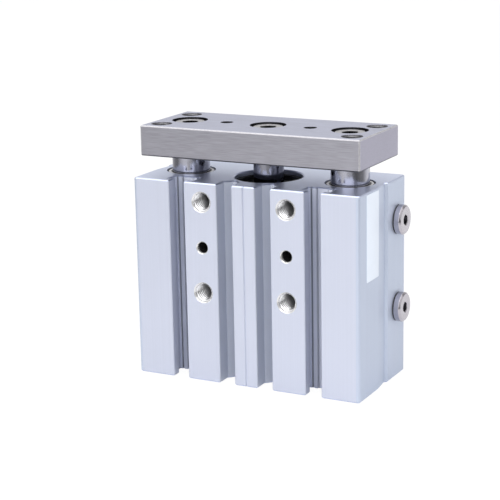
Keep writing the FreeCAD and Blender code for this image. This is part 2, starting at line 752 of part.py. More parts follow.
def make_rods():
    """The piston rod and the two guide rods, all tapped at their plate ends."""
    bevel = S.rod_chamfer
    thread_floor = -(S.rod_thread_depth)
    guide = S.guide_rod_diameter / 2
    lead = S.guide_rod_lead
    guide_end = S.guide_rod_inset - plate_bottom
    for name, side in (("left", -1), ("right", 1)):
        turned(f"guide_rod_{name}",
               [(0, guide_end), (guide - lead, guide_end), (guide, guide_end + lead), (guide, -bevel),
                (guide - bevel, 0), (thread_radius, 0), (thread_radius, thread_floor), (0, thread_floor)],
               x=side * guide_x, z=plate_bottom)
    rod = S.piston_rod_diameter / 2
    spigot = S.rod_spigot_diameter / 2
    shoulder = piston_front - plate_bottom
    spigot_end = piston_rear + S.rod_spigot_short - plate_bottom
    screw_hole = S.piston_screw_diameter / 2
    screw_floor = spigot_end + S.piston_screw_length
    turned("piston_rod",
           [(screw_hole, spigot_end), (spigot, spigot_end), (spigot, shoulder), (rod, shoulder),
            (rod, -bevel), (rod - bevel, 0), (thread_radius, 0), (thread_radius, thread_floor),
            (0, thread_floor), (0, screw_floor), (screw_hole, screw_floor)],
           z=plate_bottom)


def make_piston():
    """The piston with its seal, ring magnet, magnet holder and fixing screw."""
    hole = S.rod_spigot_diameter / 2 + S.seat_gap
    land = bore_radius - S.piston_wall_gap
    relieved = land - S.piston_relief
    nose = land - S.piston_nose_step
    groove_low = S.piston_seal_place
    groove_high = groove_low + S.piston_seal_width
    seal_outer = bore_radius - S.running_gap
    groove_radius = seal_outer - S.piston_seal_radial
    disc = S.piston_disc
    hub = S.magnet_hub_diameter / 2
    turned("piston",
           [(hole, -(S.magnet_thickness)), (hub, -(S.magnet_thickness)), (hub, 0), (relieved, 0),
            (relieved, groove_low), (groove_radius, groove_low), (groove_radius, groove_high),
            (land, groove_high), (land, disc - S.piston_nose), (nose, disc - S.piston_nose),
            (nose, disc), (hole, disc)],
           z=piston_rear + S.holder_web + S.magnet_thickness)
    seal_inner = groove_radius + S.seat_gap
    seal_top = S.piston_seal_width - S.seat_gap * 2
    waist = seal_outer - S.seal_waist
    waist_low = S.seal_lip + S.seal_slope
    turned("piston_seal",
           [(seal_inner, 0), (seal_outer, 0), (seal_outer, S.seal_lip), (waist, waist_low),
            (waist, seal_top - waist_low), (seal_outer, seal_top - S.seal_lip), (seal_outer, seal_top),
            (seal_inner, seal_top)],
           z=piston_rear + S.holder_web + S.magnet_thickness + groove_low + S.seat_gap)
    magnet = bore_radius - S.magnet_wall_gap
    turned("piston_magnet", washer_outline(hub + S.seat_gap, magnet, S.magnet_thickness),
           z=piston_rear + S.holder_web)
    lip = magnet + S.seat_gap
    lip_height = S.holder_web + S.holder_lip_height
    turned("magnet_holder",
           [(hole, 0), (lip + S.holder_lip, 0), (lip + S.holder_lip, lip_height), (lip, lip_height),
            (lip, S.holder_web), (hole, S.holder_web)],
           z=piston_rear)
    shank = S.piston_screw_diameter / 2 - S.thread_play
    head = S.piston_screw_head_diameter / 2
    low = -(S.piston_screw_head_height)
    tip = S.piston_screw_length - S.rod_chamfer
    screw = turned("piston_screw",
                   [(0, low), (head, low), (head, 0), (shank, 0), (shank, tip), (0, tip)],
                   z=piston_rear)
    socket = make_sketch(screw, "socket", offset=low)
    draw_polygon(socket, hexagon(S.piston_screw_socket))
    pocket(screw, socket, S.piston_screw_socket_depth, backwards=True)


make_barrel()
make_barrel_pieces()
make_plugs()
make_plate()
make_plate_bolts()
make_rods()
make_piston()
doc.recompute()

# Nothing is written unless every object of the document is sound
for item in doc.Objects:
    if "Invalid" in item.State or "Error" in item.State:
        raise RuntimeError(f"{item.Label} failed: {item.State}")
pieces = [item for item in doc.Objects if item.TypeId == "PartDesign::Body"]
for piece in pieces:
    if piece.Shape.isNull() or not piece.Shape.isValid():
        raise RuntimeError(f"{piece.Label} has no sound shape")

os.makedirs("parts", exist_ok=True)
for piece in pieces:
    piece.Shape.exportStep(os.path.join("parts", f"{piece.Label}.step"))
    print(f"{piece.Label}: {len(piece.Shape.Solids)} solid(s), {piece.Shape.Volume:.1f} mm3")
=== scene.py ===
"""Looks of a compact guided pneumatic cylinder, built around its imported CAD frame.

The barrel, plate, rods and inner pieces come from the frame and are given their finishes here. Threads, the
heads of the small screws, the port plugs and the blank label are surfaces worked out in this file. Lengths
are in metres in meshes and in millimetres inside the materials.
"""

import enum
import functools
import logging
import math
from dataclasses import dataclass, field
from typing import Optional, Sequence, Union

import bpy
import numpy as np
from mathutils import Matrix, Vector


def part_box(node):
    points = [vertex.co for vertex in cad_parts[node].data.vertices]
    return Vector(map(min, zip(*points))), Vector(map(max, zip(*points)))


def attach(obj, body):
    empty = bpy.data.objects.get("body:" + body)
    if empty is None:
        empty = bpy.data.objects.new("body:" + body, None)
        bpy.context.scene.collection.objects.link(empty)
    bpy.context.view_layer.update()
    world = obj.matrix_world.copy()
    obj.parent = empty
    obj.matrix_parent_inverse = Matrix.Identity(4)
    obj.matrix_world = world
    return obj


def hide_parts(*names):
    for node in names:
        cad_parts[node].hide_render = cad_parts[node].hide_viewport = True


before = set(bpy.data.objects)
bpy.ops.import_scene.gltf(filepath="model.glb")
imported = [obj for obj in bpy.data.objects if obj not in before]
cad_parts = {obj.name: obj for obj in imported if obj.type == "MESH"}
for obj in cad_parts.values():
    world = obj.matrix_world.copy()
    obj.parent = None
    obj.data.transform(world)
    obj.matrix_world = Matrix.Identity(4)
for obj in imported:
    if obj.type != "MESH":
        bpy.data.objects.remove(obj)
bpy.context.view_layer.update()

LOG = logging.getLogger("scene")
MM = 0.001
BARREL = "barrel"
CARRIAGE = "carriage"
Colour = tuple[float, float, float]
Pair = tuple[float, float]
WHITE: Colour = (1.0, 1.0, 1.0)


def node_box(node: str) -> tuple[np.ndarray, np.ndarray]:
    """Lowest and highest corner of a CAD node, in millimetres."""
    low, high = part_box(node)
    return np.array(low) / MM, np.array(high) / MM


# Places that pieces and finishes share, in millimetres, and the thread that every tapped hole has
LEVELS = ("upper", "lower")
SIDES = ((-1, "left"), (1, "right"))
BARREL_LOW, BARREL_HIGH = (corner.tolist() for corner in node_box("cylinder_body"))
PLATE_LOW, PLATE_HIGH = (corner.tolist() for corner in node_box("tooling_plate"))
PLUG_AXES = tuple(tuple((sum(node_box(f"port_plug_{level}"))[1:] / 2).tolist()) for level in LEVELS)
HOLE_X = 12.0
HOLES = ((HOLE_X, 48.0), (HOLE_X, 24.0))
ROD_X = 23.0
PLATE_CORNER = (27.0, 8.0)
THREAD_RADIUS = 2.5
THREAD_PITCH = 0.8
THREAD_PLAY = 0.06
MOUTH_DEPTH = 0.35


# ---------------------------------------------------------------------------------------------- shader maths


class Value:
    """One output of a shader graph that takes part in plain Python arithmetic."""

    def __init__(self, graph: "Graph", socket: bpy.types.NodeSocket) -> None:
        """Wraps a socket of a graph."""
        self.graph = graph
        self.socket = socket

    def _maths(self, operation: str, *terms: "Term") -> "Value":
        """Adds one Math node.

        Args:
            operation: the Math node's operation.
            terms: its inputs in order.

        Returns:
            The node's output.
        """
        return self.graph.node("ShaderNodeMath", {"operation": operation}, dict(enumerate(terms)))

    def __add__(self, other: "Term") -> "Value":
        """self + other."""
        return self._maths("ADD", self, other)

    __radd__ = __add__

    def __sub__(self, other: "Term") -> "Value":
        """self - other."""
        return self._maths("SUBTRACT", self, other)

    def __rsub__(self, other: "Term") -> "Value":
        """other - self."""
        return self._maths("SUBTRACT", other, self)

    def __mul__(self, other: "Term") -> "Value":
        """self * other."""
        return self._maths("MULTIPLY", self, other)

    __rmul__ = __mul__

    def __truediv__(self, other: "Term") -> "Value":
        """self / other."""
        return self._maths("DIVIDE", self, other)

    def __pow__(self, other: "Term") -> "Value":
        """self raised to other."""
        return self._maths("POWER", self, other)

    def __gt__(self, other: "Term") -> "Value":
        """1 where self is greater than other, else 0."""
        return self._maths("GREATER_THAN", self, other)

    def __lt__(self, other: "Term") -> "Value":
        """1 where self is less than other, else 0."""
        return self._maths("LESS_THAN", self, other)

    def __abs__(self) -> "Value":
        """Absolute value."""
        return self._maths("ABSOLUTE", self)

    def root(self) -> "Value":
        """Square root."""
        return self._maths("SQRT", self)

    def angle(self, other: "Term") -> "Value":
        """Angle whose tangent is this value over the other, in radians."""
        return self._maths("ARCTAN2", self, other)

    def least(self, other: "Term") -> "Value":
        """The smaller of two values."""
        return self._maths("MINIMUM", self, other)

    def most(self, other: "Term") -> "Value":
        """The larger of two values."""
        return self._maths("MAXIMUM", self, other)

    def ramp(self, low: float, high: float, start: float = 0.0, end: float = 1.0) -> "Value":
        """A smooth, clamped change from start to end as the value goes from low to high.

        Args:
            low: value where the change begins.
            high: value where it is complete.
            start: result at low.
            end: result at high.

        Returns:
            The smoothed result.
        """
        settings = {"interpolation_type": "SMOOTHSTEP"}
        return self.graph.node("ShaderNodeMapRange", settings,
                               {"Value": self, "From Min": low, "From Max": high, "To Min": start,
                                "To Max": end})


Term = Union[Value, float, int]


def nearest(across: Value, along: Value, *centres: Pair) -> Value:
    """Distance in a plane to the nearest of some centres: the least root of the summed squares.

    Args:
        across: first coordinate of the point.
        along: its second coordinate.
        centres: the centres, in the same plane.

    Returns:
        The distance.
    """
    spans = [((across - x) ** 2.0 + (along - y) ** 2.0).root() for x, y in centres]
    return functools.reduce(Value.least, spans)


class Graph:
    """The node tree of one material or world, written through a few calls."""

    def __init__(self, tree: bpy.types.NodeTree) -> None:
        """Empties a node tree and takes it over."""
        self.tree = tree
        tree.nodes.clear()
        self._place: Optional[tuple[Value, Value, Value]] = None

    def node(self, kind: str, settings: Optional[dict] = None, inputs: Optional[dict] = None,
             output: Union[int, str] = 0) -> Value:
        """Adds any node.

        Args:
            kind: the node's type.
            settings: properties set before the inputs, or "stops" for a colour ramp.
            inputs: numbers, colours, vectors or values for sockets, by name or index.
            output: which output to return.

        Returns:
            The chosen output.
        """
        made = self.tree.nodes.new(kind)
        for name, setting in (settings or {}).items():
            if name == "stops":
                self._set_stops(made, setting)
            else:
                setattr(made, name, setting)
        for name, term in (inputs or {}).items():
            target = made.inputs[name]
            if isinstance(term, Value):
                self.tree.links.new(term.socket, target)
            else:
                target.default_value = (*term, 1.0) if target.type == "RGBA" and len(term) == 3 else term
        return Value(self, made.outputs[output] if len(made.outputs) else made)

    @staticmethod
    def _set_stops(made: bpy.types.Node, stops: Sequence[tuple[float, Colour]]) -> None:
        """Gives a colour ramp its stops."""
        elements = made.color_ramp.elements
        while len(elements) < len(stops):
            elements.new(1.0)
        for element, (position, colour) in zip(elements, stops):
            element.position = position
            element.color = (*colour, 1.0)

    def place(self) -> tuple[Value, Value, Value]:
        """X, Y and Z of the surface point in the object's own frame, in millimetres."""
        if self._place is None:
            point = self.node("ShaderNodeTexCoord", output="Object")
            self._place = tuple(
                self.node("ShaderNodeSeparateXYZ", inputs={0: point}, output=axis) * (1 / MM)
                for axis in range(3))
        return self._place

    def vector(self, x: Term, y: Term, z: Term) -> Value:
        """A vector of three terms."""
        return self.node("ShaderNodeCombineXYZ", inputs={0: x, 1: y, 2: z})

    def noise(self, x: Term, y: Term, z: Term, detail: float = 2.0, rough: float = 0.5) -> Value:
        """Fractal noise from 0 to 1 at a point.

        Args:
            x: first coordinate, in cells.
            y: second coordinate.
            z: third coordinate.
            detail: number of octaves.
            rough: weight of each finer octave.

        Returns:
            The noise.
        """
        return self.node("ShaderNodeTexNoise", {"noise_dimensions": "3D"},
                         {"Vector": self.vector(x, y, z), "Scale": 1.0, "Detail": detail,
                          "Roughness": rough})

    def clouds(self, scale: float, detail: float = 2.0, rough: float = 0.5) -> Value:
        """Fractal noise at the surface point, with as many cells to the millimetre as the scale says."""
        x, y, z = self.place()
        return self.noise(x * scale, y * scale, z * scale, detail, rough)

    def ray(self, kind: str) -> Value:
        """1 for rays of a kind, such as Camera or Glossy, else 0."""
        return self.node("ShaderNodeLightPath", output=f"Is {kind} Ray")

    def pores(self, scale: float) -> Value:
        """Distance to the nearest of scattered points, as many to the millimetre as the scale says."""
        x, y, z = self.place()
        return self.node("ShaderNodeTexVoronoi", {"feature": "F1"},
                         {"Vector": self.vector(x * scale, y * scale, z * scale), "Scale": 1.0})

    def blend(self, mask: Term, low: Union[Value, Colour], high: Union[Value, Colour]) -> Value:
        """A colour that goes from low to high with a mask."""
        return self.node("ShaderNodeMix", {"data_type": "RGBA"}, {0: mask, 6: low, 7: high}, output=2)

    def tint(self, colour: Union[Value, Colour], factor: Value) -> Value:
        """A colour with its brightness multiplied by a value."""
        scale = self.node("ShaderNodeCombineColor", inputs={0: factor, 1: factor, 2: factor})
        return self.node("ShaderNodeMix", {"data_type": "RGBA", "blend_type": "MULTIPLY"},
                         {0: 1.0, 6: colour, 7: scale}, output=2)

    def bump(self, height: Value, distance: float, strength: float = 1.0) -> Value:
        """A normal bent by a height field.

        Args:
            height: the field, from 0 to 1.
            distance: height of 1 in the field, in metres.
            strength: how much of the bend is used.

        Returns:
            The bent normal.
        """
        return self.node("ShaderNodeBump", inputs={"Height": height, "Distance": distance,
                                                   "Strength": strength})

    def surface(self, **sockets: Union[Value, float, Colour]) -> None:
        """Ends the graph in a Principled shader with the given sockets, underscores for spaces."""
        named = {name.replace("_", " "): term for name, term in sockets.items()}
        shader = self.node("ShaderNodeBsdfPrincipled", inputs=named)
        self.node("ShaderNodeOutputMaterial", inputs={"Surface": shader})


# -------------------------------------------------------------------------------------------------- finishes


def new_graph(name: str) -> tuple[bpy.types.Material, Graph]:
    """A new material and its empty graph."""
    material = bpy.data.materials.new(name)
    material.use_nodes = True
    return material, Graph(material.node_tree)


@dataclass(frozen=True)
class AnodisedExtrusion:
    """Clear anodised extrusion: satin sides with faint die lines, bright machined ends, bores and holes, with
    painted shade on the side faces, in the grooves, in lines on the slot floors and in the dowel holes, and
    painted light on the slot floors.
    """

    colour: Colour = (0.60, 0.63, 0.74)
    cut_colour: Colour = (0.66, 0.715, 0.89)
    hole_colour: Colour = (0.80, 0.80, 0.80)
    # Painted shade: near-black deep in the dowel holes
    shade_colour: Colour = (0.035, 0.035, 0.04)
    # Painted shade: a darker copy of the extrusion colour inside the sensor grooves
    groove_shade_colour: Colour = (0.575, 0.605, 0.69)
    # Painted shade: the side faces take this darker copy of the extrusion colour
    flank_shade_colour: Colour = (0.545, 0.60, 0.725)
    # Painted shade: dark lines on the T-slot floors
    line_shade_colour: Colour = (0.25, 0.265, 0.31)
    # Painted light: a lighter copy of the extrusion colour on the T-slot floors
    floor_colour: Colour = (0.72, 0.75, 0.86)
    end_band: float = 0.32
    skin: float = 0.01
    bore_reach: float = 9.75
    guide_reach: float = 6.6
    hole_reach: float = 2.83
    dowel: Pair = (HOLE_X, 36.0)
    dowel_reach: float = 1.78
    dowel_wall: float = 1.53
    dowel_fade: Pair = (-14.35, -13.75)
    slot_x: float = 19.25
    slot_floor: float = -8.8
    floor_reach: float = 3.75
    floor_band: Pair = (-0.05, 0.55)
    shade_line_reach: float = 2.0
    shade_line_depth: float = 0.03
    relief_x: float = 1.55
    relief_fade: Pair = (0.12, 0.30)
    groove_x: float = 5.45
    groove_reach: float = 2.3
    groove_band: Pair = (-14.9, -8.0)
    flank: float = 31.0
    mill_centre: Pair = (-70.0, -40.0)

    def build(self) -> bpy.types.Material:
        """Builds the material."""
        material, graph = new_graph("anodised_extrusion")
        x, y, z = graph.place()
        side = abs(x)
        ends = (z > (BARREL_HIGH[2] - self.end_band)).most(z < (BARREL_LOW[2] + self.end_band))
        bores = (nearest(x, y, (0.0, 0.0)) < self.bore_reach).most(
            nearest(side, y, (ROD_X, 0.0)) < self.guide_reach)
        machined = ends.most(bores)
        from_dowel = nearest(side, z, self.dowel)
        holes = (from_dowel < self.dowel_reach).most(nearest(side, z, *HOLES) < self.hole_reach)
        holes = holes * (abs(y) < (BARREL_HIGH[1] - self.skin))
        # Painted shade deep in the dowel holes; the mask only fades in from the front, so it also darkens two
        # discs on the back face
        dowel_shade = (from_dowel < self.dowel_wall) * y.ramp(*self.dowel_fade)

        lines = graph.noise(x * 3.1, y * 3.1, z * 0.012, 3.0, 0.6)
        fine = graph.noise(x * 14.0, y * 14.0, z * 0.05)
        cloud = graph.clouds(0.05)
        grain = graph.clouds(9.0, rough=0.7)
        mill = graph.noise(nearest(x, y, self.mill_centre) * 2.2, x * 0.03, y * 0.03, 3.0, 0.6)

        from_slot = abs(side - self.slot_x)
        sunk = y - self.slot_floor
        # The T-slot floors, which take painted light
        floor = (from_slot < self.floor_reach) * (sunk > self.floor_band[0]) * (sunk < self.floor_band[1])
        # Painted shade: dark on the deeper outer parts of the slot floors, and a line at each relief edge
        shade_lines = floor * (sunk > self.shade_line_depth) * (from_slot > self.shade_line_reach)
        relief = floor * abs(from_slot - self.relief_x).ramp(*self.relief_fade, 1.0, 0.0)
        grooved = abs(side - self.groove_x) < self.groove_reach
        grooved = grooved * (y > self.groove_band[0]) * (y < self.groove_band[1])

        # Painted shade: the side faces are darker than the front and back
        skin = graph.blend(side > self.flank, self.colour, self.flank_shade_colour)
        # Painted shade inside the sensor grooves
        skin = graph.blend(grooved, skin, self.groove_shade_colour)
        # Painted light on the T-slot floors
        skin = graph.blend(floor, skin, self.floor_colour)
        # Painted shade lines on the slot floors
        skin = graph.blend(shade_lines.most(relief * 0.6), skin, self.line_shade_colour)
        skin = graph.tint(skin, 0.91 + lines * 0.08 + cloud * 0.06)
        cut = graph.tint(self.cut_colour, 0.94 + mill * 0.04 + cloud * 0.05)
        colour = graph.blend(machined, skin, cut)
        colour = graph.blend(holes, colour, self.hole_colour)
        # Painted shade in the dowel holes
        colour = graph.blend(dowel_shade * 0.97, colour, self.shade_colour)
        rough_skin = 0.40 + fine * 0.10 + grain * 0.05
        rough_cut = 0.29 + mill * 0.05 + cloud * 0.06
        rough = rough_skin + (rough_cut - rough_skin) * machined
        rough = rough + (0.22 - rough) * holes
        height = lines * 0.5 + fine * 0.25 + grain * 0.25
        height = height + (mill - height) * machined
        graph.surface(Base_Color=colour, Metallic=0.6 + machined * 0.3, Roughness=rough,
                      Normal=graph.bump(height, 0.006 * MM))
        return material


@dataclass(frozen=True)
class MilledPlate:
    """Milled and plated steel: streaks along the plate's length and worn top edges, with painted light on the
    top and side faces and painted shade along the bottom edges and in the holes.
    """

    colour: Colour = (0.385, 0.38, 0.425)
    # Painted light: lighter, bluer copies of the plate colour on the top and on the sides
    top_light_colour: Colour = (0.50, 0.515, 0.63)
    side_light_colour: Colour = (0.415, 0.405, 0.49)
    wear_colour: Colour = (0.80, 0.79, 0.80)
    # Painted shade: near-black along the bottom edges and inside the holes
    shade_colour: Colour = (0.012, 0.012, 0.013)
    edge: float = 0.35
    skin: float = 0.03
    mouth: float = 0.04
    dowel_reach: float = 1.78
    corner_reach: float = 2.83
    bolt_reach: float = 4.78

    def build(self) -> bpy.types.Material:
        """Builds the material."""
        material, graph = new_graph("milled_plate")
        x, y, z = graph.place()
        side = abs(x)
        streaks = graph.noise(x * 0.10, y * 2.6, z * 2.6, 4.0, 0.65)
        scratches = graph.noise(x * 0.35, y * 9.0, z * 9.0, 3.0, 0.7)
        dashes = graph.noise(x * 0.20, y * 6.0, z * 6.0).ramp(0.40, 0.60)
        cloud = graph.clouds(0.06)
        grain = graph.clouds(8.0, rough=0.6)

        rim_x = side > (PLATE_HIGH[0] - self.edge)
        rim_y = abs(y) > (PLATE_HIGH[1] - self.edge)
        rim_top = z > (PLATE_HIGH[2] - self.edge)
        rim_foot = z < (PLATE_LOW[2] + self.edge)
        wear = ((rim_x + rim_y + rim_top) > 1.5) * grain.ramp(0.30, 0.62)
        # Painted shade along the bottom edges
        foot_shade = ((rim_x.most(rim_y) + rim_foot) > 1.5) * grain.ramp(0.25, 0.45)
        bored = nearest(side, y, (0.0, 0.0), (ROD_X, 0.0)) < self.bolt_reach
        dowel = nearest(side, y, (HOLE_X, 0.0)) < self.dowel_reach
        corner = nearest(side, abs(y), PLATE_CORNER) < self.corner_reach
        # Painted shade inside the bolt, dowel and corner holes
        dark = bored.most(dowel).most(corner * (0.45 + grain.ramp(0.45, 0.55) * 0.5))
        inside = (z < (PLATE_HIGH[2] - self.mouth)) * (z > (PLATE_LOW[2] + self.mouth))

        # Painted light: the sides and the top are lighter than the front and back
        base = graph.blend(side > (PLATE_HIGH[0] - self.skin), self.colour, self.side_light_colour)
        base = graph.blend(z > (PLATE_HIGH[2] - self.skin), base, self.top_light_colour)
        colour = graph.tint(base, 0.72 + streaks * 0.26 + dashes * 0.16 + cloud * 0.12)
        colour = graph.blend(wear * 0.7, colour, self.wear_colour)
        # Painted shade along the bottom edges
        colour = graph.blend(foot_shade * 0.75, colour, self.shade_colour)
        # Painted shade inside the holes
        colour = graph.blend(dark * inside * 0.95, colour, self.shade_colour)
        rough = 0.30 + scratches * 0.16 + dashes * 0.06
        graph.surface(Base_Color=colour, Metallic=1.0 - wear * 0.5, Roughness=rough,
                      Normal=graph.bump(streaks * 0.5 + dashes * 0.5, 0.012 * MM))
        return material


@dataclass(frozen=True)
class TurnedMetal:
    """Lathe-turned or ground metal: fine rings across the Z axis."""

    name: str
    colour: Colour
    roughness: float
    ring: float = 6.0
    depth: float = 0.001
    spread: float = 0.04

    def build(self) -> bpy.types.Material:
        """Builds the material."""
        material, graph = new_graph(self.name)
        rings = graph.noise(graph.place()[2] * self.ring, 0.0, 0.0, 3.0, 0.6)
        cloud = graph.clouds(0.3)
        fleck = graph.clouds(7.0, rough=0.6)
        colour = graph.tint(self.colour, 0.92 + rings * 0.07 + cloud * 0.09)
        rough = self.roughness + rings * self.spread + fleck * self.spread
        graph.surface(Base_Color=colour, Metallic=1.0, Roughness=rough,
                      Normal=graph.bump(rings * 0.8 + fleck * 0.2, self.depth * MM))
        return material


@dataclass(frozen=True)
class CutThread:
    """The wall of a tapped hole: bright crests, painted shade in the roots, and painted shade that darkens it
    further in.
    """

    name: str
    axis: int
    ends: Pair
    centres: tuple[Pair, ...]
    colour: Colour = (0.90, 0.90, 0.92)
    # Painted shade: the colour further into the hole
    shade_colour: Colour = (0.20, 0.20, 0.21)
    fade: Pair = (2.0, 7.5)
    roots: Pair = (2.20, 2.32)
    root_shade: float = 0.88
    lead: Pair = (0.9, 1.3)

    def build(self) -> bpy.types.Material:
        """Builds the material."""
        material, graph = new_graph(self.name)
        place = graph.place()
        depth = (place[self.axis] - self.ends[0]).least(self.ends[1] - place[self.axis])
        across = [abs(place[index]) for index in range(3) if index != self.axis]
        # Painted shade in the thread roots
        root = nearest(*across, *self.centres).ramp(*self.roots) * depth.ramp(*self.lead)
        shade_wobble = graph.clouds(0.9, 3.0, 0.6)
        tears = graph.clouds(5.0, 3.0, 0.7)
        # Painted shade that darkens the wall further into the hole, with a wavy edge
        depth_shade = (depth + (shade_wobble - 0.5) * 1.6).ramp(*self.fade)
        root_shaded_wall = graph.tint(self.colour, (0.86 + tears * 0.18) * (1.0 - root * self.root_shade))
        colour = graph.blend(depth_shade, root_shaded_wall, self.shade_colour)
        graph.surface(Base_Color=colour, Metallic=1.0, Roughness=0.20 + tears * 0.10 + depth_shade * 0.10,
                      Normal=graph.bump(tears, 0.004 * MM))
        return material


@dataclass(frozen=True)
class FacedMetal:
    """Metal faced on a lathe, such as a plug's head: rings round axes, a polished wall and painted shade deep
    in the socket.
    """

    name: str
    colour: Colour
    roughness: float
    centres: tuple[Pair, ...]
    socket_reach: float
    face: float
    axis: int = 0
    ring: float = 5.0
    socket_fade: Pair = (0.1, 0.45)
    # Painted shade deep in the socket
    socket_shade_colour: Colour = (0.03, 0.03, 0.032)
    wall_reach: float = 3.8
    wall_roughness: float = 0.06

    def build(self) -> bpy.types.Material:
        """Builds the material."""
        material, graph = new_graph(self.name)
        place = graph.place()
        along = place[self.axis]
        first, second = [place[index] for index in range(3) if index != self.axis]
        reach = nearest(first, second, *self.centres)
        rings = graph.noise(reach * self.ring, along * 3.0, 0.0, 3.0, 0.6)
        cloud = graph.noise(first * 0.5, second * 0.5, along * 0.5)
        colour = graph.tint(self.colour, 0.80 + rings * 0.20 + cloud * 0.12)
        # Painted shade: the socket darkens with depth below the face
        socket = (self.face - along).ramp(*self.socket_fade) * (reach < self.socket_reach)
        colour = graph.blend(socket, colour, self.socket_shade_colour)
        wall = reach > self.wall_reach
        rough = self.roughness + rings * 0.10
        rough = rough + (self.wall_roughness - rough) * wall
        graph.surface(Base_Color=colour, Metallic=1.0, Roughness=rough,
                      Normal=graph.bump(rings * (1.0 - wall), 0.004 * MM))
        return material


@dataclass(frozen=True)
class DarkCoat:
    """A dark coated or moulded surface with a fine grain."""

    name: str
    colour: Colour
    roughness: float
    metallic: float = 0.0
    grain: float = 5.0
    depth: float = 0.006

    def build(self) -> bpy.types.Material:
        """Builds the material."""
        material, graph = new_graph(self.name)
        grain = graph.clouds(self.grain, 3.0, 0.6)
        cloud = graph.clouds(0.4)
        colour = graph.tint(self.colour, 0.8 + grain * 0.2 + cloud * 0.2)
        graph.surface(Base_Color=colour, Metallic=self.metallic, Roughness=self.roughness + grain * 0.12,
                      Normal=graph.bump(grain, self.depth * MM))
        return material


@dataclass(frozen=True)
class SinteredBush:
    """Oil-filled sintered bush with small pores: a light band on the crown of its face, and a dark tone
    elsewhere that also serves as painted shade in the gaps on either side of the band.
    """

    # Dark tone of the bush, which also serves as painted shade in the gaps beside the crown
    colour: Colour = (0.10, 0.10, 0.105)
    crown_colour: Colour = (0.86, 0.86, 0.88)
    crown: Pair = (5.48, 5.95)
    blur: float = 0.12

    def build(self) -> bpy.types.Material:
        """Builds the material."""
        material, graph = new_graph("sintered_bush")
        x, y, _ = graph.place()
        pores = graph.pores(4.0).ramp(0.10, 0.35)
        cloud = graph.clouds(0.6)
        reach = nearest(abs(x), y, (ROD_X, 0.0))
        crown = reach.ramp(self.crown[0] - self.blur, self.crown[0])
        crown = crown * reach.ramp(self.crown[1], self.crown[1] + self.blur, 1.0, 0.0)
        # Dark tone, also painted shade in the gaps inside and outside the crown
        dark_tone_and_shade = graph.tint(self.colour, 0.65 + pores * 0.25 + cloud * 0.30)
        colour = graph.blend(crown, dark_tone_and_shade, self.crown_colour)
        graph.surface(Base_Color=colour, Metallic=0.9 - crown * 0.4,
                      Roughness=0.34 + cloud * 0.08 + (1.0 - pores) * 0.2,
                      Normal=graph.bump(pores, 0.01 * MM))
        return material


@dataclass(frozen=True)
class LabelFilm:
    """Blank white label film with a slight weave of its face stock."""

    colour: Colour = (0.75, 0.81, 0.91)

    def build(self) -> bpy.types.Material:
        """Builds the material."""
        material, graph = new_graph("label_film")
        x, y, z = graph.place()
        fibre = graph.noise(y * 6.0, z * 6.0, x * 6.0, 3.0, 0.6)
        cloud = graph.noise(y * 0.25, z * 0.25, 0.0)
        colour = graph.tint(self.colour, 0.94 + fibre * 0.04 + cloud * 0.05)
        graph.surface(Base_Color=colour, Metallic=0.0, Roughness=0.36 + fibre * 0.10,
                      Normal=graph.bump(fibre, 0.003 * MM))
        return material


class Finish(enum.Enum):
    """Every finish of the part."""

    EXTRUSION = AnodisedExtrusion()
    PLATE = MilledPlate()
    CHROME = TurnedMetal("hard_chrome", (0.46, 0.46, 0.52), 0.13, ring=9.0, depth=0.0006, spread=0.03)
    PISTON_ROD = TurnedMetal("piston_rod", (0.29, 0.29, 0.335), 0.08, ring=9.0, depth=0.0006, spread=0.03)
    PLUG = FacedMetal("nickel_plug", (0.54, 0.515, 0.56), 0.16, PLUG_AXES, socket_reach=1.46, face=34.2,
                      socket_fade=(0.5, 1.2), socket_shade_colour=(0.20, 0.20, 0.22))
    BOLT = FacedMetal("plated_bolt", (0.52, 0.51, 0.53), 0.24, ((0.0, 0.0), (-ROD_X, 0.0), (ROD_X, 0.0)),
                      socket_reach=2.33, face=66.0, axis=2)
    BARREL_THREAD = CutThread("barrel_thread", 1, (BARREL_LOW[1], BARREL_HIGH[1]), HOLES)
    # Painted shade: the plate's corner threads are dark all through, and near-black from just inside the
    # mouth
    PLATE_THREAD = CutThread("plate_thread", 2, (PLATE_LOW[2], PLATE_HIGH[2]), (PLATE_CORNER,),
                             (0.22, 0.22, 0.23), (0.015, 0.015, 0.015), (0.1, 1.2), root_shade=0.95)
    BUSH = SinteredBush()
    COVER = DarkCoat("black_cover", (0.012, 0.013, 0.012), 0.34, metallic=0.3)
    RING = DarkCoat("phosphated_ring", (0.03, 0.03, 0.032), 0.42, metallic=0.6)
    RUBBER = DarkCoat("nitrile_rubber", (0.02, 0.02, 0.021), 0.55)
    GASKET = DarkCoat("dark_gasket", (0.03, 0.03, 0.035), 0.50)
    BUMPER = DarkCoat("urethane_bumper", (0.30, 0.21, 0.08), 0.45)
    MAGNET = DarkCoat("bonded_magnet", (0.06, 0.05, 0.045), 0.55, metallic=0.2)
    TURNED = TurnedMetal("turned_aluminium", (0.78, 0.78, 0.80), 0.24, ring=5.0, depth=0.003)
    LABEL = LabelFilm()

    def material(self) -> bpy.types.Material:
        """The finish's material, built the first time it is asked for."""
        name = f"finish_{self.name.lower()}"
        if name not in bpy.data.materials:
            self.value.build().name = name
        return bpy.data.materials[name]


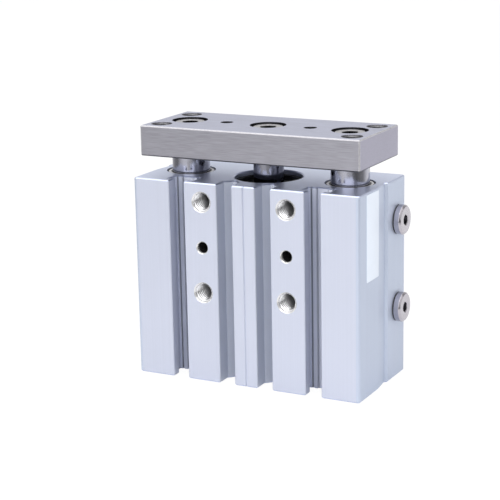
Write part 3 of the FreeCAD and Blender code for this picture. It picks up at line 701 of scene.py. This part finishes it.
NODE_FINISH: dict[str, Finish] = {
    "cylinder_body": Finish.EXTRUSION, "rod_cover": Finish.COVER, "head_cover": Finish.COVER,
    "rod_seal": Finish.RUBBER, "rod_cover_gasket": Finish.RUBBER, "head_cover_gasket": Finish.RUBBER,
    "piston_seal": Finish.RUBBER, "rod_cover_ring": Finish.RING, "head_cover_ring": Finish.RING,
    "front_bumper": Finish.BUMPER, "rear_bumper": Finish.BUMPER,
    "guide_bush_front_left": Finish.BUSH, "guide_bush_front_right": Finish.BUSH,
    "guide_bush_rear_left": Finish.BUSH, "guide_bush_rear_right": Finish.BUSH,
    "port_plug_upper": Finish.PLUG, "port_plug_lower": Finish.PLUG,
    "port_gasket_upper": Finish.GASKET, "port_gasket_lower": Finish.GASKET,
    "tooling_plate": Finish.PLATE, "plate_bolts": Finish.BOLT, "piston_rod": Finish.PISTON_ROD,
    "guide_rod_left": Finish.CHROME, "guide_rod_right": Finish.CHROME, "piston": Finish.TURNED,
    "magnet_holder": Finish.TURNED, "piston_magnet": Finish.MAGNET, "piston_screw": Finish.BOLT,
}


# -------------------------------------------------------------------------------------------------- surfaces


# Faces of a surface, as arrays of point numbers: each array holds faces with equally many corners
Blocks = list[np.ndarray]


def linked(name: str, data: bpy.types.ID) -> bpy.types.Object:
    """A new object that shows its data in the scene."""
    made = bpy.data.objects.new(name, data)
    bpy.context.scene.collection.objects.link(made)
    return made


def mesh_object(name: str, points: np.ndarray, blocks: Blocks, finish: Finish, body: str,
                crease: float = 30.0) -> bpy.types.Object:
    """Makes a piece from points and faces, dressed, riding on a body, and smooth up to an angle.

    Args:
        name: the piece's name.
        points: an array of points, in metres.
        blocks: its faces.
        finish: its finish.
        body: the CAD body that it moves with.
        crease: angle between faces, in degrees, above which their shared edge stays sharp.

    Returns:
        The piece.
    """
    mesh = bpy.data.meshes.new(name)
    mesh.from_pydata(points.tolist(), [], sum((block.tolist() for block in blocks), []))
    mesh.shade_smooth()
    mesh.set_sharp_from_angle(angle=math.radians(crease))
    piece = linked(name, mesh)
    mesh.materials.append(finish.material())
    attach(piece, body)
    LOG.info("%s: %d faces on %s", name, len(mesh.polygons), body)
    return piece


def grid_faces(rows: int, columns: int, wrap: bool) -> np.ndarray:
    """Quads of a grid of points stored row by row.

    Args:
        rows: number of rows.
        columns: number of points in a row.
        wrap: whether each row closes on itself.

    Returns:
        An array of quads that face outwards where rows climb and columns run anticlockwise.
    """
    row = np.arange(rows - 1)[:, None]
    column = np.arange(columns if wrap else columns - 1)[None, :]
    following = (column + 1) % columns
    quads = np.stack([row * columns + column, row * columns + following,
                      (row + 1) * columns + following, (row + 1) * columns + column], axis=-1)
    return quads.reshape(-1, 4)


@dataclass
class Turning:
    """A surface of turning about the Z axis whose radius and height may change with the angle."""

    segments: int = 144
    bands: list[np.ndarray] = field(default_factory=list)

    def angles(self) -> np.ndarray:
        """The angle of every column."""
        return np.linspace(0.0, 2 * math.pi, self.segments, endpoint=False)

    def band(self, radius: np.ndarray, height: np.ndarray) -> "Turning":
        """Adds rows from arrays of radius and height, one row of the surface to a row of the array."""
        self.bands.append(np.stack(np.broadcast_arrays(radius, height, self.angles()), axis=-1))
        return self

    def profile(self, *pairs: Pair) -> "Turning":
        """Adds round rows from pairs of radius and height."""
        points = np.array(pairs)
        return self.band(points[:, :1], points[:, 1:])

    def corner(self, sharp: Pair, size: float, before: Pair,
               after: Pair) -> "Turning":
        """Adds a rounded corner: a quadratic curve between two points, pulled towards the sharp corner.

        Args:
            sharp: radius and height of the sharp corner.
            size: rounding distance along each side.
            before: unit direction from the corner back along the profile.
            after: unit direction from the corner on along the profile.

        Returns:
            This turning.
        """
        corner = np.array(sharp)
        start = corner + size * np.array(before)
        end = corner + size * np.array(after)
        share = np.linspace(0.0, 1.0, 5)[:, None]
        arc = (1 - share) ** 2 * start + 2 * share * (1 - share) * corner + share ** 2 * end
        return self.band(arc[:, :1], arc[:, 1:])

    def build(self) -> tuple[np.ndarray, Blocks]:
        """Joins the rows, each point at radius times the cosine and sine of its angle, and closes both ends.

        Returns:
            Points and faces.
        """
        radius, height, angle = np.moveaxis(np.concatenate(self.bands), -1, 0)
        points = np.stack([radius * np.cos(angle), radius * np.sin(angle), height], axis=-1).reshape(-1, 3)
        count = len(points)
        ends = np.array([[0.0, 0.0, height[0].mean()], [0.0, 0.0, height[-1].mean()]])
        column = np.arange(self.segments)
        following = np.roll(column, -1)
        last = count - self.segments
        low = np.stack([np.full_like(column, count), following, column], axis=-1)
        high = np.stack([np.full_like(column, count + 1), last + column, last + following], axis=-1)
        return np.vstack([points, ends]), [grid_faces(len(radius), self.segments, True), low, high]


def hexagon_radius(angle: np.ndarray, across_flats: float) -> np.ndarray:
    """Radius of a hexagon at each angle: half its width over the cosine of the angle from the flat."""
    turn = math.pi / 3
    return across_flats / 2 / np.cos((angle % turn) - turn / 2)


@dataclass
class SocketScrew:
    """A screw or plug with a round head, a hexagon socket and a plain or knurled rim, along +Z."""

    head_radius: float
    head_height: float
    shank_length: float
    socket: float
    socket_depth: float
    rim: float
    edge: float = 0.15
    seat_bevel: Pair = (0.03, 0.04)
    knurls: int = 0
    knurl_depth: float = 0.0
    knurl_margin: float = 0.25
    shank_radius: float = THREAD_RADIUS - THREAD_PLAY
    thread_depth: float = 0.48
    tip: Pair = (0.2, 0.25)
    tip_share: float = 0.8
    neck: float = 0.8
    neck_rise: float = 0.2
    neck_share: float = 0.93
    top_land: float = 0.12
    rounding: float = 0.25
    countersink: float = 0.12
    countersink_depth: float = 0.14
    lip: Pair = (0.1, 0.02)
    cone: tuple[Pair, ...] = ((0.5, 0.12), (0.1, 0.3))

    def _shank(self, turning: Turning) -> None:
        """Adds the tip and the thread, whose depth is a triangle wave of height plus the angle's share."""
        length, neck = self.shank_length, self.shank_radius * self.neck_share
        core = self.shank_radius - self.thread_depth
        turning.profile((core * self.tip_share, -length), (core, self.tip[0] - length))
        rows = max(8, int(length / THREAD_PITCH * 8))
        height = np.linspace(self.tip[1] - length, -self.neck, rows)[:, None]
        phase = (height / THREAD_PITCH - turning.angles() / (2 * math.pi)) % 1.0
        turning.band(self.shank_radius - self.thread_depth * np.abs(2 * phase - 1), height)
        turning.profile((neck, self.neck_rise - self.neck), (neck, 0.0))

    def _head(self, turning: Turning) -> None:
        """Adds the head's seat, its side, whose knurls are a cosine of the angle, and its bevelled top."""
        radius, top = self.head_radius, self.head_height - self.rim
        turning.profile((radius - self.edge, 0.0), (radius - self.seat_bevel[0], self.seat_bevel[1]),
                        (radius, self.edge))
        if self.knurls:
            knurl = self.knurl_depth * (0.5 - 0.5 * np.cos(turning.angles() * self.knurls))
            ends = np.array([[self.edge + self.knurl_margin], [top - self.knurl_margin]])
            turning.band(radius - knurl, ends)
        slant = math.sqrt(0.5)
        size = self.rim * self.rounding
        turning.profile((radius, top - self.top_land))
        turning.corner((radius, top), size, (0.0, -1.0), (-slant, slant))
        turning.corner((radius - self.rim, self.head_height), size, (slant, -slant), (-1.0, 0.0))

    def _socket(self, turning: Turning) -> None:
        """Adds the socket: a countersunk mouth, hexagonal walls and the drill's cone below them."""
        top, floor = self.head_height, self.head_height - self.socket_depth
        mouth = self.socket / 2 / math.cos(math.pi / 6) + self.countersink
        land = (self.head_radius - self.rim) * 0.75 + mouth * 0.25
        turning.profile((land, top), (mouth + self.lip[0], top), (mouth, top - self.lip[1]))
        walls = [(1.0, top - self.countersink_depth), (1.0, floor)]
        rows = np.array(walls + [(share, floor - drop) for share, drop in self.cone])
        turning.band(rows[:, :1] * hexagon_radius(turning.angles(), self.socket), rows[:, 1:])

    def build(self) -> tuple[np.ndarray, Blocks]:
        """The surface from the shank's tip, round the head and down into the socket.

        Returns:
            Points in millimetres and faces.
        """
        turning = Turning()
        self._shank(turning)
        self._head(turning)
        self._socket(turning)
        return turning.build()


@dataclass
class ThreadedBore:
    """The thread inside a tapped hole: a thin closed sleeve with a helical inner face, along +Z."""

    length: float
    lead: float = 0.35
    lead_start: float = 0.05
    run_out: float = 0.3
    depth: float = 0.54 * THREAD_PITCH
    slope: float = 2.5
    gap: float = 0.01
    wall: float = 0.02
    per_turn: int = 56
    per_pitch: int = 10

    def build(self) -> tuple[np.ndarray, Blocks]:
        """Works out the sleeve: the inner face rises and falls once in each pitch of height plus angle.

        Returns:
            Points in millimetres, from the mouth at 0 down to minus the length, and faces.
        """
        angle = np.linspace(0.0, 2 * math.pi, self.per_turn, endpoint=False)
        rows = int(self.length / THREAD_PITCH * self.per_pitch)
        height = np.linspace(0.0, -self.length, rows)[:, None]
        phase = (height / THREAD_PITCH - angle[None, :] / (2 * math.pi)) % 1.0
        wave = np.clip(self.slope * (0.5 - np.abs(phase - 0.5)), 0.0, 1.0)
        fade = np.clip((-height - self.lead_start) / self.lead, 0.0, 1.0)
        fade = fade * np.clip((self.length + height) / self.run_out, 0.0, 1.0)
        outer = THREAD_RADIUS - self.gap
        inner = outer - self.wall - self.depth * wave * fade
        ring = np.stack([inner * np.cos(angle), inner * np.sin(angle),
                         np.broadcast_to(height, inner.shape)], axis=-1)
        wall = np.stack([outer * np.cos(angle), outer * np.sin(angle)], axis=-1)
        low = np.column_stack([wall, np.full(self.per_turn, -self.length)])
        high = np.column_stack([wall, np.zeros(self.per_turn)])
        # Rows run down the inner face, then up the hidden outer wall and back to the first row
        points = np.vstack([ring.reshape(-1, 3), low, high])
        faces = grid_faces(rows + 2, self.per_turn, True)
        start = (rows + 1) * self.per_turn
        column = np.arange(self.per_turn)
        following = (column + 1) % self.per_turn
        closing = np.stack([start + column, start + following, following, column], axis=-1)
        return points, [faces, closing]


def placed(points: np.ndarray, at: Sequence[float], facing: Sequence[float] = (0.0, 0.0, 1.0)) -> np.ndarray:
    """Turns points from +Z to a direction, moves them and gives them in metres.

    Args:
        points: points in millimetres.
        at: where their origin goes, in millimetres.
        facing: the direction that +Z turns to.

    Returns:
        Points in metres.
    """
    turn = np.array(Vector((0.0, 0.0, 1.0)).rotation_difference(Vector(facing)).to_matrix())
    return (points @ turn.T + np.array(at)) * MM


# --------------------------------------------------------------------------------------------------- pieces


@dataclass
class Barrel:
    """What stays with the barrel: threads of its holes, port plugs and the blank label."""

    mount_depth: float = 11.5
    port_depth: float = 3.3
    plug_head: float = 3.9
    plug_height: float = 1.85
    plug_rim: float = 0.45
    plug_socket: float = 2.5
    plug_socket_depth: float = 1.4
    label_y: Pair = (-10.6, -2.9)
    label_z: Pair = (30.2, 52.4)
    label_thickness: float = 0.09
    label_shoulder: float = 0.6
    label_corner: float = 0.35
    label_edge: float = 0.1

    def thread(self, name: str, at: Sequence[float], facing: Sequence[float], length: float) -> None:
        """Cuts the thread of one tapped hole whose mouth is at a point and faces a direction."""
        points, faces = ThreadedBore(length).build()
        inset = np.array(at) - np.array(facing) * MOUTH_DEPTH
        mesh_object(name, placed(points, inset, facing), faces, Finish.BARREL_THREAD, BARREL,
                    crease=50.0)

    def build_threads(self) -> None:
        """Cuts the threads of the front holes and of the two ports in the back face."""
        for side, column in SIDES:
            for (hole_x, row), level in zip(HOLES, LEVELS):
                self.thread(f"mount_thread_{level}_{column}", (side * hole_x, BARREL_LOW[1], row),
                            (0.0, -1.0, 0.0), self.mount_depth)
        for (_, row), level in zip(PLUG_AXES, LEVELS):
            self.thread(f"port_thread_{level}", (0.0, BARREL_HIGH[1], row), (0.0, 1.0, 0.0), self.port_depth)

    def build_plugs(self) -> None:
        """Makes the two port plugs, in place of the plain ones of the frame."""
        for axis, level in zip(PLUG_AXES, LEVELS):
            node = f"port_plug_{level}"
            low, high = node_box(node)
            seat = high[0] - self.plug_height
            points, faces = SocketScrew(self.plug_head, self.plug_height, seat - low[0], self.plug_socket,
                                        self.plug_socket_depth, self.plug_rim).build()
            piece = mesh_object(f"plug_{level}", placed(points, (seat, *axis), (1.0, 0.0, 0.0)), faces,
                                Finish.PLUG, BARREL)
            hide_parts(node)

    def build_label(self) -> None:
        """Lays the label on the right face: a thin film whose outline has quarter circles for corners."""
        low = np.array([self.label_y[0], self.label_z[0]]) + self.label_corner
        high = np.array([self.label_y[1], self.label_z[1]]) - self.label_corner
        centres = np.array([[high[0], high[1]], [low[0], high[1]], [low[0], low[1]], [high[0], low[1]]])
        angle = np.arange(4)[:, None] * math.pi / 2 + np.linspace(0.0, math.pi / 2, 7)
        circle = np.stack([np.cos(angle), np.sin(angle)], axis=-1)
        loop = (centres[:, None, :] + self.label_corner * circle).reshape(-1, 2)
        inner = (centres[:, None, :] + (self.label_corner - self.label_edge) * circle).reshape(-1, 2)
        count = len(loop)
        rise = self.label_thickness * np.array([0.0, self.label_shoulder, 1.0])
        points = np.column_stack([np.repeat(BARREL_HIGH[0] + rise, count), np.vstack([loop, loop, inner])])
        order = np.arange(count)[None, :]
        faces = [grid_faces(3, count, True), order + 2 * count, order[:, ::-1]]
        mesh_object("blank_label", points * MM, faces, Finish.LABEL, BARREL)

    def build(self) -> None:
        """Builds everything that stays with the barrel."""
        self.build_threads()
        self.build_plugs()
        self.build_label()


@dataclass
class Carriage:
    """What the tooling plate carries: threads of its corner holes and the bolts' detailed heads."""

    thread_margin: float = 0.05
    bolt_x: tuple[float, float, float] = (-ROD_X, 0.0, ROD_X)
    head_radius: float = 4.25
    head_height: float = 5.0
    head_rim: float = 0.4
    socket: float = 4.0
    socket_depth: float = 2.5
    knurls: int = 36
    knurl_depth: float = 0.12

    def build_threads(self) -> None:
        """Cuts the threads of the four corner holes, right through the plate."""
        length = PLATE_HIGH[2] - PLATE_LOW[2] - MOUTH_DEPTH - self.thread_margin
        points, faces = ThreadedBore(length).build()
        for side, column in SIDES:
            for depth_side, row in ((-1, "front"), (1, "back")):
                at = (side * PLATE_CORNER[0], depth_side * PLATE_CORNER[1], PLATE_HIGH[2] - MOUTH_DEPTH)
                mesh_object(f"plate_thread_{row}_{column}", placed(points, at), faces,
                            Finish.PLATE_THREAD, CARRIAGE, crease=50.0)

    def build_bolts(self) -> None:
        """Makes the three plate bolts as one piece, in place of the plain ones of the frame."""
        low, high = node_box("plate_bolts")
        seat = high[2] - self.head_height
        points, faces = SocketScrew(self.head_radius, self.head_height, seat - low[2], self.socket,
                                    self.socket_depth, self.head_rim, knurls=self.knurls,
                                    knurl_depth=self.knurl_depth).build()
        row = [placed(points, (x, 0.0, seat)) for x in self.bolt_x]
        blocks = [block + index * len(points) for index in range(len(row)) for block in faces]
        piece = mesh_object("bolts", np.vstack(row), blocks, Finish.BOLT, CARRIAGE)
        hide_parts("plate_bolts")

    def build(self) -> None:
        """Builds everything that moves with the plate."""
        self.build_threads()
        self.build_bolts()


def dress_nodes() -> None:
    """Gives every CAD node its finish."""
    for name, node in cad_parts.items():
        node.data.materials.clear()
        node.data.materials.append(NODE_FINISH[name].material())
        LOG.info("%s dressed as %s", name, NODE_FINISH[name].name)


# --------------------------------------------------------------------------------------------------- studio


@dataclass
class SoftBox:
    """A square lamp that looks at the part from a direction, in degrees, at a distance in metres."""

    name: str
    azimuth: float
    elevation: float
    distance: float
    size: float
    power: float

    def build(self, aim: Vector) -> None:
        """Hangs the lamp and turns it to the aim point."""
        light = bpy.data.lights.new(self.name, "AREA")
        light.shape = "SQUARE"
        light.size = self.size
        light.energy = self.power
        lamp = linked(self.name, light)
        away = direction(self.azimuth, self.elevation)
        lamp.location = aim + away * self.distance
        lamp.rotation_euler = away.to_track_quat("Z", "Y").to_euler()


def direction(azimuth: float, elevation: float) -> Vector:
    """Unit vector towards an azimuth from -Y towards +X, and an elevation, in degrees."""
    turn, rise = math.radians(azimuth), math.radians(elevation)
    return Vector((math.sin(turn) * math.cos(rise), -math.cos(turn) * math.cos(rise), math.sin(rise)))


@dataclass
class Studio:
    """Plain pale floor, soft lamps, white surroundings and the camera."""

    azimuth: float = 27.452
    elevation: float = 14.043
    roll: float = -1.077
    distance: float = 0.405666
    lens: float = 110.956
    aim: tuple[float, float, float] = (-0.00502, -0.00174, 0.03307)
    sensor: float = 36.0
    near: float = 0.01
    floor_reach: float = 4.0
    floor_fade: Pair = (90.0, 260.0)
    floor_colour: Colour = (0.92, 0.92, 0.92)
    floor_glow: float = 1.05
    floor_glow_share: float = 0.9
    horizon: Pair = (-0.05, 0.10)
    ceiling: Pair = (0.55, 0.85)
    low_room: tuple[Pair, ...] = (
        (-180.0, 0.85), (-153.0, 0.85), (-120.0, 0.60), (-90.0, 0.30), (-62.0, 0.22), (-34.0, 0.75),
        (-20.0, 0.92), (0.0, 0.92), (12.0, 0.62), (30.0, 0.50), (40.0, 0.20), (60.0, 0.12),
        (105.0, 0.30), (130.0, 0.90), (150.0, 1.15), (180.0, 0.95))
    high_room: tuple[Pair, ...] = (
        (-180.0, 0.78), (-153.0, 0.85), (-110.0, 0.50), (-60.0, 0.30), (0.0, 0.50), (60.0, 0.20),
        (150.0, 0.40), (180.0, 0.78))
    plain_level: float = 0.64
    boxes: tuple[SoftBox, ...] = (
        SoftBox("key", 12.0, 29.0, 0.7, 0.85, 2.85),
        SoftBox("side", -50.0, 40.0, 0.7, 0.6, 0.8),
        SoftBox("top", 20.0, 84.0, 0.7, 0.9, 1.6),
        SoftBox("fill", 95.0, 25.0, 0.8, 0.8, 1.15),
    )

    def build_world(self) -> None:
        """White where it is seen, a room of brighter and darker sides in reflections, and a plain light."""
        world = bpy.data.worlds.new("surroundings")
        bpy.context.scene.world = world
        world.use_nodes = True
        graph = Graph(world.node_tree)
        seen = graph.ray("Camera")
        glossy = graph.ray("Glossy")
        heading = graph.node("ShaderNodeTexCoord", output="Generated")
        x, y, z = (graph.node("ShaderNodeSeparateXYZ", inputs={0: heading}, output=axis) for axis in range(3))
        share = x.angle(0.0 - y) / (2 * math.pi) + 0.5
        low, high = (graph.node("ShaderNodeValToRGB", {"stops": [
            (azimuth / 360.0 + 0.5, (level, level, level)) for azimuth, level in levels]}, {"Fac": share})
            for levels in (self.low_room, self.high_room))
        rise = z.ramp(*self.horizon)
        room = low * (1.0 - rise) + high * rise
        room = room.most(z.ramp(*self.ceiling))
        strength = glossy * room + (1.0 - glossy) * self.plain_level
        strength = seen + (1.0 - seen) * strength
        shade = graph.node("ShaderNodeBackground", inputs={"Color": WHITE, "Strength": strength})
        graph.node("ShaderNodeOutputWorld", inputs={"Surface": shade})

    def build_floor(self) -> None:
        """A flat white floor that keeps a faint shadow, and that polished metal looks through to the room."""
        reach = self.floor_reach
        mesh = bpy.data.meshes.new("floor")
        corners = [(-reach, -reach, 0.0), (reach, -reach, 0.0), (reach, reach, 0.0), (-reach, reach, 0.0)]
        mesh.from_pydata(corners, [], [(0, 1, 2, 3)])
        floor = linked("floor", mesh)
        material, graph = new_graph("floor_paint")
        seen = graph.ray("Camera")
        glossy = graph.ray("Glossy")
        matt = graph.node("ShaderNodeBsdfDiffuse", inputs={"Color": self.floor_colour})
        glow = graph.node("ShaderNodeEmission", inputs={"Color": WHITE, "Strength": self.floor_glow})
        clear = graph.node("ShaderNodeBsdfTransparent", inputs={"Color": WHITE})
        mixed = graph.node("ShaderNodeMixShader", inputs={0: seen * self.floor_glow_share, 1: matt, 2: glow})
        x, y, _ = graph.place()
        far = nearest(x, y, (0.0, 0.0)).ramp(*self.floor_fade)
        mixed = graph.node("ShaderNodeMixShader", inputs={0: glossy * far, 1: mixed, 2: clear})
        graph.node("ShaderNodeOutputMaterial", inputs={"Surface": mixed})
        mesh.materials.append(material)

    def build_camera(self) -> None:
        """The camera, at the view's azimuth, elevation and roll."""
        camera = linked("camera", bpy.data.cameras.new("camera"))
        camera.data.lens = self.lens
        camera.data.sensor_width = self.sensor
        camera.data.clip_start = self.near
        away = direction(self.azimuth, self.elevation)
        turn = away.to_track_quat("Z", "Y").to_matrix() @ Matrix.Rotation(math.radians(self.roll), 3, "Z")
        camera.matrix_world = Matrix.Translation(Vector(self.aim) + away * self.distance) @ turn.to_4x4()
        bpy.context.scene.camera = camera

    def build(self) -> None:
        """Builds the whole studio."""
        self.build_world()
        self.build_floor()
        for box in self.boxes:
            box.build(Vector(self.aim))
        self.build_camera()
        bpy.context.scene.view_settings.view_transform = "Standard"


def main() -> None:
    """Builds the studio, the finishes and every piece."""
    logging.basicConfig(level=logging.INFO, format="%(message)s")
    Studio().build()
    dress_nodes()
    Barrel().build()
    Carriage().build()


if __name__ == "__main__":
    main()
